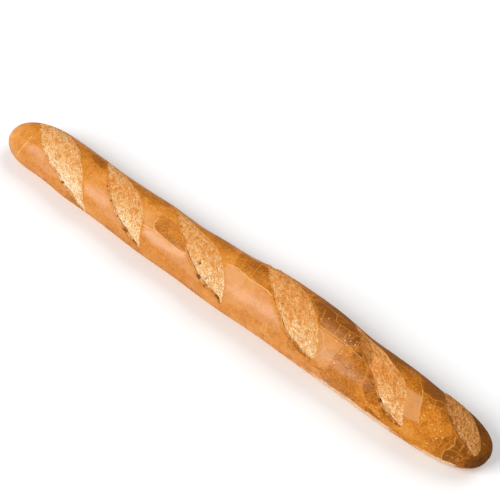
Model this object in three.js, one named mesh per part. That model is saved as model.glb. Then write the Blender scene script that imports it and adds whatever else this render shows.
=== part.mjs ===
// A baguette: one solid loaf of baked dough, lying on its flat base, with six slanting cuts that opened in
// the oven. All sizes are in millimetres. X runs along the loaf towards the end that is baked darkest, Y
// across it towards its far side, and Z is up. The origin lies under its middle, on the surface that it
// rests on.
//
// The skin is one closed grid, worked out in three steps: a plain body (a D-shaped section that shrinks to a
// point at both ends), the six cuts laid out on that body's unrolled skin, and the relief of the cuts and of
// the dough, which pushes the skin in or out along its normal. The grid's rows follow the edges of the cuts.
import * as THREE from 'three';

// The plain body. A list holds one value for each station, and the stations are evenly spaced.
const LENGTH = 598;
const HALF_WIDTHS = [27.9, 27.5, 28.6, 27.9, 29.6, 28.9, 31.1, 32.8, 33.1, 30.9, 30.2, 28.3, 28.9];
const SIDE_SHIFTS = [-3, 2.2, 0.5, -0.4, -1.2, -1.3, -1, 2.1, 1.8, -0.2, -1.3, -1.2, 0.1];
const HEIGHT_PER_HALF_WIDTH = 1.48;
const WIDEST_AT = 0.4; // share of the height at which the section is widest
const POINT_AT = 0.42; // share of the height at which the two ends come to a point
const CROWN_SQUARENESS = 2.15; // 2 is an ellipse, and more is squarer
const BASE_SQUARENESS = 2.8;
const BASE_SINK = 2; // how much of the round underside is pressed flat by the surface that it was baked on
const END_REACH = { low: 52, high: 64 }; // the length over which each end rounds off
const END_SQUARENESS = 2.3;

// The cuts, laid out on the unrolled skin. A tip is [x, turn], and a turn is an angle in degrees round the
// loaf from its top, positive on the near side, at -Y. The ear edge is where the blade lifted the skin, and
// the far edge is where the torn dough swelled up to meet the skin again. Each edge bows out from the
// straight line between the tips: by how much, at what share of the way, and how pointed it is. The split
// is the depth of the gap between the ear and the torn dough.
const CUTS = [
  { back: [-279, -62.5], front: [-172, 103.5], ear: [16, 0.31, 3.3], far: [25.5, 0.6, 2], split: 2.2 },
  { back: [-194, -74.5], front: [-93.5, 84.5], ear: [12, 0.5, 2.2], far: [21.5, 0.66, 3.3], split: 2.8 },
  { back: [-108.5, -72], front: [12, 81.5], ear: [8, 0.51, 3.1], far: [23, 0.71, 2.9], split: 3.4 },
  { back: [12.5, -84], front: [119.5, 61.5], ear: [17.5, 0.52, 1.3], far: [17, 0.74, 2.4], split: 2.4 },
  { back: [122, -66], front: [224, 67], ear: [8.5, 0.62, 1.25], far: [20, 0.66, 3], split: 2.8 },
  { back: [225, -88], front: [289, 42.5], ear: [12, 0.47, 2.9], far: [16, 0.67, 1.9], split: 0.8 },
];
const FULL_RELIEF_WIDTH = 14; // a cut has its whole relief where it is at least this wide
const TIP_FADE = 0.12; // share of a cut's length, at each tip, over which its relief fades in
const LIPS_RISE = { from: 0.1, to: 0.5 }; // both lips stand up more and more between these shares
const SPLIT_OPENS = { from: 0.25, to: 0.7 }; // the split deepens between these shares of the way
const SPLIT_WIDTH = 1.8;
const FULL_SPLIT_WIDTH = 5; // the split is as deep as it gets where the cut is at least this wide
const EAR_LIFT = 1.1;
const EAR_REACH = 6; // how far back from its edge the ear is lifted
const EAR_LEAN = 0.8; // how far the ear leans over the split
const TORN_DROP = 1.6; // how far the torn dough lies below the skin, beside the split
const SWELL = 1.8; // how far it stands above the skin at the far edge
const FAR_STEP = 0.4; // the skin beyond the far edge starts this much lower
const SWELL_REACH = 16;

// The unevenness of the dough: shallow dents all over, and crags where it tore.
const DENTS = { size: 30, depth: 0.6 };
const CRAGS = { size: 7.5, depth: 0.9 };
const SMOOTH_TURNS = { from: 95, to: 125 }; // the dents fade out between these turns, and the base is flat

// The grid of the skin.
const SKIN_RADIUS = 32; // turns become arc lengths on a round of this radius when the skin is laid flat
const CROWN_TURN = 110; // columns are close together from -CROWN_TURN to CROWN_TURN
const CROWN_COLUMNS = 34;
const BASE_COLUMNS = 12;
const END_ROWS = 8;
const CRUST_ROWS = 8; // rows of the skin between two cuts
const TORN_ROWS = 7;
const LEAST_ROW_ROOM = 9; // the length kept for a cut's rows where the cut itself is narrower

const CRUST = new THREE.MeshStandardMaterial({ color: 0xc47a34, roughness: 0.5, metalness: 0 });

const { clamp, degToRad, lerp, smoothstep } = THREE.MathUtils;

/** The arc length, on the unrolled skin, of a turn in degrees. */
const arcOf = (turn) => degToRad(turn) * SKIN_RADIUS;

/** The value at x of a smooth curve through one value for each station: a cubic whose slope at a station is
    that of the line between the two stations beside it. */
function throughStations(values, x) {
  const last = values.length - 1;
  const place = clamp((x / LENGTH + 0.5) * last, 0, last - 1e-9);
  const i = Math.floor(place);
  const t = place - i;
  const slope = (k) => {
    const [low, high] = [Math.max(k - 1, 0), Math.min(k + 1, last)];
    return (values[high] - values[low]) / (high - low);
  };
  const low = (2 * t ** 3 - 3 * t ** 2 + 1) * values[i] + (t ** 3 - 2 * t ** 2 + t) * slope(i);
  return low + (3 * t ** 2 - 2 * t ** 3) * values[i + 1] + (t ** 3 - t ** 2) * slope(i + 1);
}

/** The share of the full section left at a distance from one end: a superellipse, 1 from reach on. */
function endShare(distance, reach) {
  const t = clamp(distance / reach, 0, 1);
  return (1 - (1 - t) ** END_SQUARENESS) ** (1 / END_SQUARENESS);
}

/** The share of the full section that is left at x, with both ends taken together. */
function shareAt(x) {
  return endShare(LENGTH / 2 + x, END_REACH.low) * endShare(LENGTH / 2 - x, END_REACH.high);
}

/** A point of the plain body: a superellipse round the loaf, squarer below its widest line, flat beneath. */
function bodyPoint(x, turn) {
  const angle = degToRad(turn);
  const halfWidth = throughStations(HALF_WIDTHS, x);
  const height = HEIGHT_PER_HALF_WIDTH * halfWidth;
  const upper = Math.cos(angle) >= 0;
  const power = 2 / (upper ? CROWN_SQUARENESS : BASE_SQUARENESS);
  const across = Math.sign(Math.sin(angle)) * Math.abs(Math.sin(angle)) ** power;
  const up = Math.abs(Math.cos(angle)) ** power;
  const widest = WIDEST_AT * height;
  const z = upper ? widest + (height - widest) * up : Math.max(0, widest - (widest + BASE_SINK) * up);
  const share = shareAt(x);
  const y = throughStations(SIDE_SHIFTS, x) - halfWidth * across * share;
  return new THREE.Vector3(x, y, lerp(POINT_AT * height, z, share));
}

/** How far an edge of a cut stands off the line between its tips, at share p of the way. */
function bow([size, peak, pointedness], p) {
  if (p <= 0 || p >= 1) return 0;
  return size * ((p / peak) ** peak * ((1 - p) / (1 - peak)) ** (1 - peak)) ** pointedness;
}

/** A cut with its place on the unrolled skin: its tips, its length and the directions along and across it. */
function laidOut(cut) {
  const start = new THREE.Vector2(cut.back[0], arcOf(cut.back[1]));
  const end = new THREE.Vector2(cut.front[0], arcOf(cut.front[1]));
  const along = end.clone().sub(start).normalize();
  const across = new THREE.Vector2(along.y, -along.x);
  return { ...cut, start, end, along, across, length: start.distanceTo(end) };
}

const cuts = CUTS.map(laidOut);

/** A fixed random number between -1 and 1 for each corner of a square lattice. */
function cornerValue(i, j) {
  const scattered = Math.sin(i * 127.1 + j * 311.7) * 43758.5453;
  return 2 * (scattered - Math.floor(scattered)) - 1;
}

/** Smooth unevenness: random heights at the corners of a lattice of the given size, eased between corners. */
function unevenness({ size, depth }, x, arc) {
  const i = Math.floor(x / size);
  const j = Math.floor(arc / size);
  const u = smoothstep(x / size - i, 0, 1);
  const v = smoothstep(arc / size - j, 0, 1);
  const near = lerp(cornerValue(i, j), cornerValue(i + 1, j), u);
  const far = lerp(cornerValue(i, j + 1), cornerValue(i + 1, j + 1), u);
  return depth * lerp(near, far, v);
}

/** The rise of the skin, and its lean across the cut, that one cut gives to a point of the unrolled skin. */
function cutRelief(cut, point) {
  const offset = point.clone().sub(cut.start);
  const p = offset.dot(cut.along) / cut.length;
  const ear = -bow(cut.ear, p);
  const far = bow(cut.far, p);
  const width = far - ear;
  if (width === 0) return { rise: 0, lean: 0 };

  const tips = smoothstep(p, 0, TIP_FADE) * smoothstep(1 - p, 0, TIP_FADE);
  const strength = tips * Math.min(1, width / FULL_RELIEF_WIDTH);
  const opening = smoothstep(p, SPLIT_OPENS.from, SPLIT_OPENS.to) * Math.min(1, width / FULL_SPLIT_WIDTH);
  const lips = smoothstep(p, LIPS_RISE.from, LIPS_RISE.to);
  const earLift = strength * lips * EAR_LIFT;
  const fromEar = offset.dot(cut.across) - ear;
  const fromFar = offset.dot(cut.across) - far;
  if (fromEar <= 0) {
    const near = Math.exp(fromEar / EAR_REACH);
    return { rise: earLift * near, lean: opening * EAR_LEAN * near ** 4 };
  }
  if (fromFar > 0) {
    return { rise: strength * lips * (SWELL - FAR_STEP) * Math.exp(-fromFar / SWELL_REACH), lean: 0 };
  }

  const t = fromEar / width;
  const cragged = Math.min(1, fromEar / CRAGS.size, -fromFar / CRAGS.size);
  const torn = -TORN_DROP + (TORN_DROP + SWELL * lips) * t * (2 - t);
  const tornRise = strength * (torn + cragged * unevenness(CRAGS, point.x, point.y));
  const s = Math.min(1, fromEar / SPLIT_WIDTH);
  const ease = smoothstep(s, 0, 1);
  const rise = lerp(earLift, tornRise, ease) - opening * cut.split * Math.sin(Math.PI * s);
  return { rise, lean: opening * EAR_LEAN * (1 - ease) };
}

/** A point of the finished skin: the plain body, pushed along its normal and across cuts by the relief. */
function skinPoint(x, turn) {
  const step = 0.2;
  const point = bodyPoint(x, turn);
  const before = bodyPoint(Math.max(x - step, -LENGTH / 2), turn);
  const alongX = bodyPoint(Math.min(x + step, LENGTH / 2), turn).sub(before).normalize();
  const roundTurn = bodyPoint(x, turn + step).sub(bodyPoint(x, turn - step)).normalize();
  const normal = new THREE.Vector3().crossVectors(roundTurn, alongX).normalize();

  const flat = new THREE.Vector2(x, arcOf(turn));
  const smooth = 1 - smoothstep(Math.abs(turn), SMOOTH_TURNS.from, SMOOTH_TURNS.to);
  point.addScaledVector(normal, smooth * shareAt(x) * unevenness(DENTS, flat.x, flat.y));
  for (const cut of cuts) {
    const { rise, lean } = cutRelief(cut, flat);
    point.addScaledVector(normal, rise);
    point.addScaledVector(alongX, lean * cut.across.x).addScaledVector(roundTurn, lean * cut.across.y);
  }
  return point.setZ(Math.max(0, point.z));
}

/** The x at which an edge of a cut crosses an arc length. Past the tips it eases to the middle of the cut,
    under the base. The edge only ever gains arc length on its way, so the crossing is found by halving. */
function edgeX(cut, side, edge, arc) {
  const halfRound = Math.PI * SKIN_RADIUS;
  const middle = (cut.start.x + cut.end.x) / 2;
  if (arc <= cut.start.y) {
    return lerp(cut.start.x, middle, smoothstep((cut.start.y - arc) / (cut.start.y + halfRound), 0, 1));
  }
  if (arc >= cut.end.y) {
    return lerp(cut.end.x, middle, smoothstep((arc - cut.end.y) / (halfRound - cut.end.y), 0, 1));
  }
  const placeAt = (p) => {
    const onLine = cut.start.clone().addScaledVector(cut.along, p * cut.length);
    return onLine.addScaledVector(cut.across, side * bow(edge, p));
  };
  let low = 0;
  let high = 1;
  for (let i = 0; i < 30; i++) {
    const p = (low + high) / 2;
    if (placeAt(p).y < arc) low = p;
    else high = p;
  }
  return placeAt(low).x;
}

/** The two rows that follow a cut's edges, at an arc length. The far row stands off a little where the cut is
    narrow or has ended, so that the rows between the two keep some room. */
function edgeRows(cut, arc) {
  const ear = edgeX(cut, -1, cut.ear, arc);
  const far = edgeX(cut, 1, cut.far, arc);
  return { ear, far: far + LEAST_ROW_ROOM * Math.exp(-(((far - ear) / LEAST_ROW_ROOM) ** 2)) };
}

/** The x of every row at an arc length, from one end of the loaf to the other, without the two end points.
    Rows crowd together towards the ends, where the skin turns fastest. */
function rowPlaces(arc) {
  const crowded = (k) => Math.sin((Math.PI / 2) * (k / END_ROWS));
  const places = [];
  let from = -LENGTH / 2;
  for (const cut of cuts) {
    const { ear, far } = edgeRows(cut, arc);
    if (cut === cuts[0]) {
      for (let k = 1; k <= END_ROWS; k++) places.push(lerp(ear, from, crowded(END_ROWS - k)));
    } else {
      for (let k = 1; k <= CRUST_ROWS; k++) places.push(lerp(from, ear, k / CRUST_ROWS));
    }
    const splitStep = Math.min(SPLIT_WIDTH / 2 / cut.across.x, (far - ear) / (TORN_ROWS + 2));
    const torn = ear + 2 * splitStep;
    places.push(ear + splitStep, torn);
    for (let k = 1; k <= TORN_ROWS; k++) places.push(lerp(torn, far, k / TORN_ROWS));
    from = far;
  }
  for (let k = 1; k < END_ROWS; k++) places.push(lerp(from, LENGTH / 2, crowded(k)));
  return places;
}

/** The turns of the columns, once round the loaf: close together over the crown and wide apart underneath. */
function columnTurns() {
  const turns = [];
  const baseSpan = 360 - 2 * CROWN_TURN;
  for (let k = 0; k < CROWN_COLUMNS; k++) turns.push(-CROWN_TURN + (2 * CROWN_TURN * k) / CROWN_COLUMNS);
  for (let k = 0; k < BASE_COLUMNS; k++) {
    const turn = CROWN_TURN + (baseSpan * k) / BASE_COLUMNS;
    turns.push(turn > 180 ? turn - 360 : turn);
  }
  return turns;
}

/** The skin as one closed surface: rings of quads from row to row, and a fan of triangles at each end. */
function loafGeometry() {
  const turns = columnTurns();
  const columns = turns.map((turn) => rowPlaces(arcOf(turn)).map((x) => skinPoint(x, turn)));
  const rowCount = columns[0].length;
  const points = [bodyPoint(-LENGTH / 2, 0)];
  for (let row = 0; row < rowCount; row++) for (const column of columns) points.push(column[row]);
  points.push(bodyPoint(LENGTH / 2, 0));

  const around = turns.length;
  const corner = (row, column) => 1 + row * around + (column % around);
  const triangles = [];
  for (let c = 0; c < around; c++) {
    triangles.push(0, corner(0, c + 1), corner(0, c));
    triangles.push(points.length - 1, corner(rowCount - 1, c), corner(rowCount - 1, c + 1));
    for (let row = 0; row < rowCount - 1; row++) {
      triangles.push(corner(row, c), corner(row, c + 1), corner(row + 1, c));
      triangles.push(corner(row, c + 1), corner(row + 1, c + 1), corner(row + 1, c));
    }
  }
  const geometry = new THREE.BufferGeometry().setFromPoints(points);
  geometry.setIndex(triangles);
  geometry.computeBoundingBox();
  const middle = geometry.boundingBox.getCenter(new THREE.Vector3());
  geometry.translate(-middle.x, -middle.y, 0);
  geometry.computeVertexNormals();
  return geometry;
}

const loaf = new THREE.Mesh(loafGeometry(), CRUST);
loaf.name = 'loaf';

const baguette = new THREE.Group();
baguette.add(loaf);

export default baguette;
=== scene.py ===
"""A baguette on a plain pale floor: one loaf of baked dough, 598 mm long, with six slanting cuts that opened.

The scene is in metres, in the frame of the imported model: X runs along the loaf towards the end that is baked
darkest, -Y is the near side, Z is up, and the origin lies under the middle of the loaf. A turn is an angle in
degrees round the loaf from its top, positive on the near side.
"""
import math

import bpy
import numpy as np
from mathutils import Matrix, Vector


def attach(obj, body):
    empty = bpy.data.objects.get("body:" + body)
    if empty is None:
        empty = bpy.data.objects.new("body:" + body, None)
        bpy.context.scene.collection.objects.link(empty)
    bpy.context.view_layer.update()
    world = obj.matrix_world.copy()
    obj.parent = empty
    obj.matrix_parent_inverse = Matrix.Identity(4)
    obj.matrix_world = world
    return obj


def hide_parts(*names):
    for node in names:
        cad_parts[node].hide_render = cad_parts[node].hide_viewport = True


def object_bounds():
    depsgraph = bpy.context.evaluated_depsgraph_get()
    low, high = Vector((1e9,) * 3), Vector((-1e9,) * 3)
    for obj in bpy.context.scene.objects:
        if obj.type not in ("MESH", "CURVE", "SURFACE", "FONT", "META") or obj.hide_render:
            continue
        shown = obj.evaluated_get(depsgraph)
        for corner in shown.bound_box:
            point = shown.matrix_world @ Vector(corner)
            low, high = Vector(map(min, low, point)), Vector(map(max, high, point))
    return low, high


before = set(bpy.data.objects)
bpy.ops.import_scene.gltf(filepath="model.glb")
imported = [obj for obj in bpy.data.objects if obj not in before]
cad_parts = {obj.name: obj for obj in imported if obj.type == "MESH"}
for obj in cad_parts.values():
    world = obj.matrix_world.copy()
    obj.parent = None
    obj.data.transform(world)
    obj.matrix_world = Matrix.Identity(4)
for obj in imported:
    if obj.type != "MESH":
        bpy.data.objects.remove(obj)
model_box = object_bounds()


# --------------------------------------------------------------------------------------------------
# The view. The loaf is seen from above, from its near side and a little from its dark end, through a
# long lens that shows it from end to end.
CAMERA_TURN = 39.7
CAMERA_RISE = 55.0
CAMERA_DISTANCE = 1.3
CAMERA_LENS = 94.6
CAMERA_SENSOR = 36.0
CAMERA_AIM = (-0.0095, 0.0363, 0.0199)

camera_turn = math.radians(CAMERA_TURN)
camera_rise = math.radians(CAMERA_RISE)
camera = bpy.data.objects.new("camera", bpy.data.cameras.new("camera"))
camera.data.lens = CAMERA_LENS
camera.data.sensor_width = CAMERA_SENSOR
camera.location = (
    CAMERA_AIM[0] + CAMERA_DISTANCE * math.sin(camera_turn) * math.cos(camera_rise),
    CAMERA_AIM[1] - CAMERA_DISTANCE * math.cos(camera_turn) * math.cos(camera_rise),
    CAMERA_AIM[2] + CAMERA_DISTANCE * math.sin(camera_rise),
)
camera.rotation_euler = (math.pi / 2 - camera_rise, 0.0, camera_turn)
bpy.context.scene.collection.objects.link(camera)
bpy.context.scene.camera = camera


# --------------------------------------------------------------------------------------------------
# The loaf: white dough rolled into a long stick, slashed six times with a blade and baked until the crust
# browned and crackled. The dough swelled out of each slash and tore, and one lip of it stands up as an ear.
#
# It is one closed surface: a plain body, the cuts on its unrolled skin, and the relief of both. Lengths in
# this section are millimetres until the mesh is made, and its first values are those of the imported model.
# Half widths and shifts to the side are given at thirteen stations, from the pale end to the dark one.

METRES = 0.001
TINY = 1e-9
FULL_TURN = 360.0
LENGTH = 598.0
HALF_WIDTHS = np.array([27.9, 27.5, 28.6, 27.9, 29.6, 28.9, 31.1, 32.8, 33.1, 30.9, 30.2, 28.3, 28.9])
SIDE_SHIFTS = np.array([-3.0, 2.2, 0.5, -0.4, -1.2, -1.3, -1.0, 2.1, 1.8, -0.2, -1.3, -1.2, 0.1])
HEIGHT_PER_HALF_WIDTH = 1.48
WIDEST_AT = 0.4
POINT_AT = 0.42
CROWN_SQUARENESS = 2.15
BASE_SQUARENESS = 2.8
BASE_SINK = 2.0
END_REACH_LOW = 52.0
END_REACH_HIGH = 64.0
END_SQUARENESS = 2.3
SKIN_RADIUS = 32.0

# Each cut runs from its back tip to its front tip, given as (x, turn). Its two edges bow out from the line
# between them by (size, peak, pointedness), and its split is that deep.
CUTS = [
    dict(back=(-279, -62.5), front=(-172, 103.5), ear=(16, 0.31, 3.3), far=(25.5, 0.6, 2), split=2.2),
    dict(back=(-194, -74.5), front=(-93.5, 84.5), ear=(12, 0.5, 2.2), far=(21.5, 0.66, 3.3), split=2.8),
    dict(back=(-108.5, -72), front=(12, 81.5), ear=(8, 0.51, 3.1), far=(23, 0.71, 2.9), split=3.4),
    dict(back=(12.5, -84), front=(119.5, 61.5), ear=(17.5, 0.52, 1.3), far=(17, 0.74, 2.4), split=2.4),
    dict(back=(122, -66), front=(224, 67), ear=(8.5, 0.62, 1.25), far=(20, 0.66, 3), split=2.8),
    dict(back=(225, -88), front=(289, 42.5), ear=(12, 0.47, 2.9), far=(16, 0.67, 1.9), split=0.8),
]
FULL_RELIEF_WIDTH = 14.0
TIP_FADE = 0.12
LIPS_RISE = (0.1, 0.5)
SPLIT_OPENS = (0.25, 0.7)
SPLIT_WIDTH = 1.8
FULL_SPLIT_WIDTH = 5.0
EAR_LIFT = 1.1
EAR_REACH = 6.0
EAR_LEAN = 0.8
EAR_LEAN_SHARPNESS = 4
TORN_DROP = 1.6
SWELL = 1.8
FAR_STEP = 0.4
SWELL_REACH = 16.0


def arc_of(turns):
    """The arc length on the unrolled skin: the turn in radians times the radius of the skin."""
    return np.radians(turns) * SKIN_RADIUS


def ease(values, low, high):
    """0 below low, 1 above high, and 3t^2 - 2t^3 of the share t of the way between them."""
    t = np.clip((values - low) / (high - low), 0.0, 1.0)
    return t * t * (3.0 - 2.0 * t)


def through_stations(values, x):
    """A cubic from station to station, with the slope at a station of the line between its neighbours."""
    slopes = np.gradient(values)
    last = len(values) - 1
    place = np.clip((x / LENGTH + 0.5) * last, 0.0, last - TINY)
    i = place.astype(int)
    t = place - i
    low = (2 * t**3 - 3 * t**2 + 1) * values[i] + (t**3 - 2 * t**2 + t) * slopes[i]
    return low + (3 * t**2 - 2 * t**3) * values[i + 1] + (t**3 - t**2) * slopes[i + 1]


def end_share(distance, reach):
    """The share of the full section left at a distance from one end: a superellipse, 1 from reach on."""
    t = np.clip(distance / reach, 0.0, 1.0)
    return (1.0 - (1.0 - t) ** END_SQUARENESS) ** (1.0 / END_SQUARENESS)


def share_at(x):
    """The share of the full section left at x: that of one end times that of the other."""
    return end_share(LENGTH / 2 + x, END_REACH_LOW) * end_share(LENGTH / 2 - x, END_REACH_HIGH)


def body_points(x, turns):
    """The plain body: a superellipse at every x, squarer below its widest line and cut off flat at z = 0,
    drawn in towards a point by the share that is left at x."""
    angles = np.radians(turns)
    half_width = through_stations(HALF_WIDTHS, x)
    height = HEIGHT_PER_HALF_WIDTH * half_width
    upper = np.cos(angles) >= 0
    power = np.where(upper, 2.0 / CROWN_SQUARENESS, 2.0 / BASE_SQUARENESS)
    across = np.sign(np.sin(angles)) * np.abs(np.sin(angles)) ** power
    up = np.abs(np.cos(angles)) ** power
    widest = WIDEST_AT * height
    lower = np.maximum(0.0, widest - (widest + BASE_SINK) * up)
    z = np.where(upper, widest + (height - widest) * up, lower)
    share = share_at(x)
    y = through_stations(SIDE_SHIFTS, x) - half_width * across * share
    return np.stack([x, y, POINT_AT * height * (1 - share) + z * share], axis=-1)


SINE_STEPS = (127.1, 311.7)
SINE_HEIGHT = 43758.5453


def corner_values(i, j):
    """A fixed random number between -1 and 1 for each corner of a lattice: the fraction of a steep sine."""
    scattered = np.sin(i * SINE_STEPS[0] + j * SINE_STEPS[1]) * SINE_HEIGHT
    return 2.0 * (scattered - np.floor(scattered)) - 1.0


def unevenness(x, arc, size, shift=(0.0, 0.0)):
    """Smooth random heights between -1 and 1: lattice corners of a given spacing, eased from one to the
    next. A shift leads to another part of the lattice, and so to other heights."""
    i = np.floor((x + shift[0]) / size)
    j = np.floor((arc + shift[1]) / size)
    u = ease((x + shift[0]) / size - i, 0.0, 1.0)
    v = ease((arc + shift[1]) / size - j, 0.0, 1.0)
    near = corner_values(i, j) * (1 - u) + corner_values(i + 1, j) * u
    far = corner_values(i, j + 1) * (1 - u) + corner_values(i + 1, j + 1) * u
    return near * (1 - v) + far * v


def bow(edge, p):
    """How far a cut's edge stands off the line between its tips: its size times the power, by how pointed it
    is, of a hump that is 0 at both tips and 1 at its peak."""
    size, peak, pointedness = edge
    inside = np.clip(p, TINY, 1 - TINY)
    hump = (inside / peak) ** peak * ((1 - inside) / (1 - peak)) ** (1 - peak)
    return np.where((p > 0) & (p < 1), size * hump**pointedness, 0.0)


# The edges of the cuts are ragged: they wander in long waves and in short ones, given as (size, reach).
RAGGED = [(9.0, 0.55), (3.1, 0.35)]
RAGGED_SHIFT = (400.0, 70.0)

# Where one edge of a cut bulges or draws back over a short stretch, as [x, turn, reach, depth].
BULGES = [
    (-215, 53, 8, -1.0), (-200, -2, 8, 1.1), (-186, 27, 7, -0.9), (-157, 12, 7, 1.3), (-104, 21, 7, -1.4),
    (-141, 34, 6, -0.5), (-71, -10, 8, 1.3), (-60, 8, 7, -1.4), (-25, 47, 10, 1.7), (-1, 69, 7, -3.3),
    (11, 80, 5, 1.3), (-54, -31, 6, 1.1), (-27, -14, 7, -1.3), (8, 40, 6, -1.8), (28, -33, 6, -1.1),
    (38, -13, 6, 1.0), (57, 18, 5, -1.3), (69, 32, 5, -1.7), (87, 49, 8, 0.9), (154, -9, 10, 3.0),
    (174, 20, 6, -0.7), (202, 54, 10, 1.7), (184, -22, 10, 2.0), (220, 34, 10, 2.5), (247, -11, 5, 1.0),
    (267, 17, 6, -0.7), (238, -33, 6, -1.2),
]


def raggedness(x, arc):
    """How far an edge is moved across its cut: two sizes of unevenness and a hump at each bulge."""
    moved = sum(depth * unevenness(x, arc, size, RAGGED_SHIFT) for size, depth in RAGGED)
    for bulge_x, bulge_turn, reach, depth in BULGES:
        away = np.hypot(x - bulge_x, arc - arc_of(bulge_turn)) / reach
        moved = moved + depth * np.exp(-(away**2))
    return moved


def laid_out(cut):
    """The cut with its tips on the unrolled skin, its length and the directions along and across it."""
    start = np.array([cut["back"][0], arc_of(cut["back"][1])])
    end = np.array([cut["front"][0], arc_of(cut["front"][1])])
    length = np.hypot(*(end - start))
    along = (end - start) / length
    return dict(cut, start=start, end=end, length=length, along=along, across=np.array([along[1], -along[0]]))


EDGE_SAMPLES = 2001
EDGE_PASSES = 5


def edge_x(cut, side, edge, arcs):
    """The x at which an edge crosses each arc length: read off a densely sampled edge, eased from its tip to
    the middle of the cut round the underside, and moved by its raggedness, in passes until it settles."""
    p = np.linspace(0.0, 1.0, EDGE_SAMPLES)[:, None]
    line = cut["start"] + p * cut["length"] * cut["along"] + side * bow(edge, p) * cut["across"]
    crossing = np.interp(arcs, line[:, 1], line[:, 0])
    half_round = math.pi * SKIN_RADIUS
    middle = (cut["start"][0] + cut["end"][0]) / 2
    before = ease((cut["start"][1] - arcs) / (cut["start"][1] + half_round), 0.0, 1.0)
    after = ease((arcs - cut["end"][1]) / (half_round - cut["end"][1]), 0.0, 1.0)
    smooth_edge = crossing + (middle - crossing) * (before + after)
    crossing = smooth_edge
    for _ in range(EDGE_PASSES):
        crossing = smooth_edge - raggedness(crossing, arcs) / cut["across"][0]
    return crossing


cuts = [laid_out(cut) for cut in CUTS]

# The grid: rows from end to end that follow the edges of the cuts, and columns round the loaf, close
# together over the crown and wide apart underneath. The rows between two cuts crowd towards the ear, where
# the skin turns fastest, and a torn strip leaves its rows some room where its cut has run out.
CROWN_TURN = 110.0
CROWN_COLUMNS = 150
BASE_COLUMNS = 18
END_ROWS = 30
CRUST_ROWS = 28
SPLIT_ROWS = 5
TORN_ROWS = 60
LEAST_ROW_ROOM = 9.0
CROWDING = 1.5

base_turns = np.arange(BASE_COLUMNS) * (FULL_TURN - 2 * CROWN_TURN) / BASE_COLUMNS + CROWN_TURN
column_turns = np.concatenate([
    np.linspace(-CROWN_TURN, CROWN_TURN, CROWN_COLUMNS, endpoint=False),
    np.where(base_turns > FULL_TURN / 2, base_turns - FULL_TURN, base_turns),
])
column_arcs = arc_of(column_turns)


def rows_between(low, high, shares):
    """Rows of x at the given shares of the way from one row to another."""
    return low + (high - low) * shares[:, None]


rows = []
reached = np.full(len(column_turns), -LENGTH / 2)
for cut in cuts:
    ear_row = edge_x(cut, -1.0, cut["ear"], column_arcs)
    far_row = edge_x(cut, 1.0, cut["far"], column_arcs)
    far_row = far_row + LEAST_ROW_ROOM * np.exp(-(((far_row - ear_row) / LEAST_ROW_ROOM) ** 2))
    if cut is cuts[0]:
        quarter = np.arange(1, END_ROWS + 1) / END_ROWS * math.pi / 2
        rows.append(rows_between(reached, ear_row, 1 - np.cos(quarter)))
    else:
        shares = np.arange(1, CRUST_ROWS + 1) / CRUST_ROWS
        rows.append(rows_between(reached, ear_row, 1 - (1 - shares) ** CROWDING))
    split_room = (far_row - ear_row) * SPLIT_ROWS / TORN_ROWS
    torn_row = ear_row + np.minimum(SPLIT_WIDTH / cut["across"][0], split_room)
    rows.append(rows_between(ear_row, torn_row, np.arange(1, SPLIT_ROWS + 1) / SPLIT_ROWS))
    rows.append(rows_between(torn_row, far_row, np.arange(1, TORN_ROWS + 1) / TORN_ROWS))
    reached = far_row
quarter = np.arange(1, END_ROWS) / END_ROWS * math.pi / 2
rows.append(rows_between(reached, np.full(len(column_turns), LENGTH / 2), np.sin(quarter)))

x = np.concatenate(rows)
turns = np.broadcast_to(column_turns, x.shape)
arc = arc_of(turns)

# What tore is rough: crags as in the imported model, strands of dough that were drawn out along the cut,
# rounded lumps where bubbles burst, and a fine grain. Each is given as (size, height), and the strands as
# (length, width, height). The mean of the strands and of the lumps is taken off, so that they only roughen.
CRAGS = (7.5, 0.9)
STRANDS = (6.0, 2.4, 0.55)
STRAND_SHARPNESS = 1.4
STRAND_MEAN = 0.55
LUMPS = (2.8, 0.6)
LUMP_SCATTER = 0.45
LUMP_MEAN = 0.75
GRAIN = (1.8, 0.3)
ROUGHNESS_SETS_IN = 2.5
PILE_SHARES = (0.5, 0.35, 0.15)
LEAST_DROP = 0.2
TWISTS = (5.0, 1.5)
TWIST_SHIFT = 90.0

# The split beside an ear is deeper in some stretches than in others.
SPLIT_DEEPENS = (0.3, 0.55)
SPLIT_STRETCH = 6.0
STRETCH_SHIFT = (30.0, 200.0)
STRETCH_EDGES = (-0.5, 0.4)
LEAST_SPLIT = 0.3
SPLIT_VARIES = 0.5

# The crust is dented, as (size, depth), except underneath, where the dents fade out over these turns.
DENTS = (30.0, 0.6)
SMALL_DENTS = (10.0, 0.16)
SMOOTH_TURNS = (95.0, 125.0)

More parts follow.
